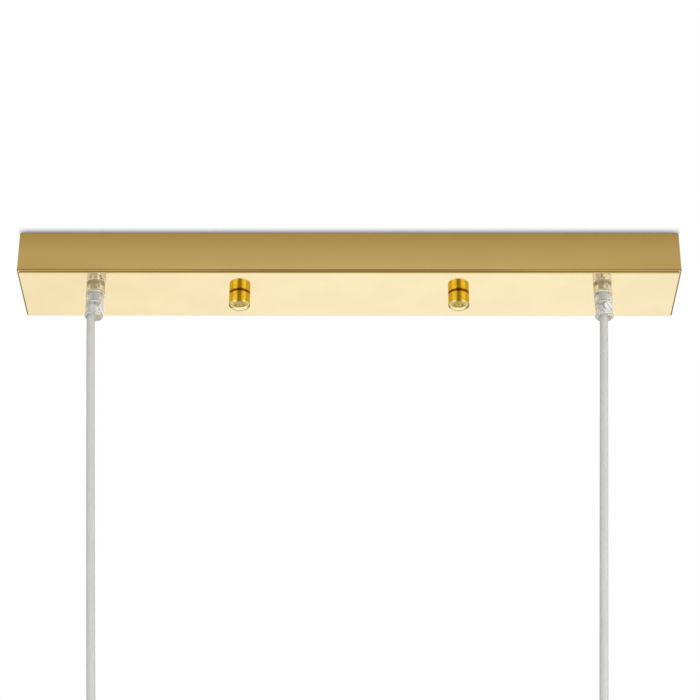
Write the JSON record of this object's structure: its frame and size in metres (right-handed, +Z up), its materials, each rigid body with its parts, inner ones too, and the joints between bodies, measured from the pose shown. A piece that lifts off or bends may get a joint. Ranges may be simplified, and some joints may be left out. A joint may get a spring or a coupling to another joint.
{
  "type": "linear pendant canopy",
  "caption": "Slim box ceiling canopy in polished brass, held by cap nuts to a hidden ceiling bracket, with clear cord grips and taut clear cords for a linear island lamp.",
  "frame": {"origin": "on the ceiling, at the middle of the bracket and canopy; everything hangs below it", "axes": "+X along the canopy, -Y towards the viewer, +Z up into the ceiling"},
  "size_m": [0.5, 0.0646, 0.3968],
  "materials": {
    "polished_brass": "mirror-polished, lacquered, pale gold",
    "gold_brass": "bright turned gold",
    "galvanised_steel": "galvanised sheet, dull spangle",
    "zinc_steel": "bright zinc plate",
    "tinned_copper": "tinned, satin",
    "clear_nylon": "clear, slightly grey, glossy",
    "clear_jacket": "translucent grey, soft gloss",
    "terminal_plastic": "white polyamide, matte",
    "terminal_brass": "plain machined",
    "clear_core": "clear insulation over tinned copper strands, gloss",
    "green_yellow_insulation": "green with a yellow stripe, satin"
  },
  "bodies": {
    "bracket": {"ceiling_bracket": "galvanised_steel", "hanging_screws": "zinc_steel", "hanging_screw_nuts": "zinc_steel", "terminal_housing": "terminal_plastic", "terminal_inserts": "terminal_brass", "terminal_screws": "zinc_steel", "bracket_earth_tag": "tinned_copper", "bracket_earth_screw": "zinc_steel"},
    "canopy": {"canopy_shell": "polished_brass", "canopy_earth_stud": "zinc_steel", "canopy_earth_tag": "tinned_copper", "canopy_earth_nut": "zinc_steel", "canopy_earth_lead": "green_yellow_insulation", "grip_lock_washers": "zinc_steel", "grip_lock_nuts": "zinc_steel", "cord_grip_left": "clear_nylon", "cord_left": "clear_jacket", "lower_grip_left": "clear_nylon", "cord_grip_right": "clear_nylon", "cord_right": "clear_jacket", "lower_grip_right": "clear_nylon", "live_core_left": "clear_core", "earth_core_left": "clear_core", "neutral_core_left": "clear_core", "live_core_right": "clear_core", "earth_core_right": "clear_core", "neutral_core_right": "clear_core"},
    "nut_left": {"cap_nut_left": "gold_brass"},
    "clamp_left": {"clamp_screw_left": "clear_nylon"},
    "lower_clamp_left": {"lower_clamp_screw_left": "clear_nylon"},
    "nut_right": {"cap_nut_right": "gold_brass"},
    "clamp_right": {"clamp_screw_right": "clear_nylon"},
    "lower_clamp_right": {"lower_clamp_screw_right": "clear_nylon"}
  },
  "joints": [
    {"name": "canopy_drop", "type": "slide", "parent": "bracket", "child": "canopy", "axis": [0, 0, -1], "range_m": [0, 0.0084], "deforming": ["live_core_left", "earth_core_left", "neutral_core_left", "live_core_right", "earth_core_right", "neutral_core_right", "canopy_earth_lead"]},
    {"name": "cap_nut_left_turn", "type": "hinge", "parent": "canopy", "child": "nut_left", "pos_m": [-0.0835, 0, -0.04], "axis": [0, 0, -1], "range_deg": [0, 4320]},
    {"name": "cap_nut_right_turn", "type": "hinge", "parent": "canopy", "child": "nut_right", "pos_m": [0.0835, 0, -0.04], "axis": [0, 0, -1], "range_deg": [0, 4320]},
    {"name": "clamp_screw_left_turn", "type": "hinge", "parent": "canopy", "child": "clamp_left", "pos_m": [-0.1938, 0, -0.0482], "axis": [0.9135, -0.4067, 0], "range_deg": [0, 720]},
    {"name": "lower_clamp_screw_left_turn", "type": "hinge", "parent": "canopy", "child": "lower_clamp_left", "pos_m": [-0.1765, 0, -0.3756], "axis": [0, -1, 0], "range_deg": [0, 720]},
    {"name": "clamp_screw_right_turn", "type": "hinge", "parent": "canopy", "child": "clamp_right", "pos_m": [0.1938, 0, -0.0482], "axis": [0.4226, -0.9063, 0], "range_deg": [0, 720]},
    {"name": "lower_clamp_screw_right_turn", "type": "hinge", "parent": "canopy", "child": "lower_clamp_right", "pos_m": [0.1765, 0, -0.3756], "axis": [0, -1, 0], "range_deg": [0, 720]}
  ],
  "couplings": [
    {"joint": "cap_nut_left_turn", "follows": "canopy_drop", "rad_per_m": 8976},
    {"joint": "cap_nut_right_turn", "follows": "canopy_drop", "rad_per_m": 8976}
  ]
}
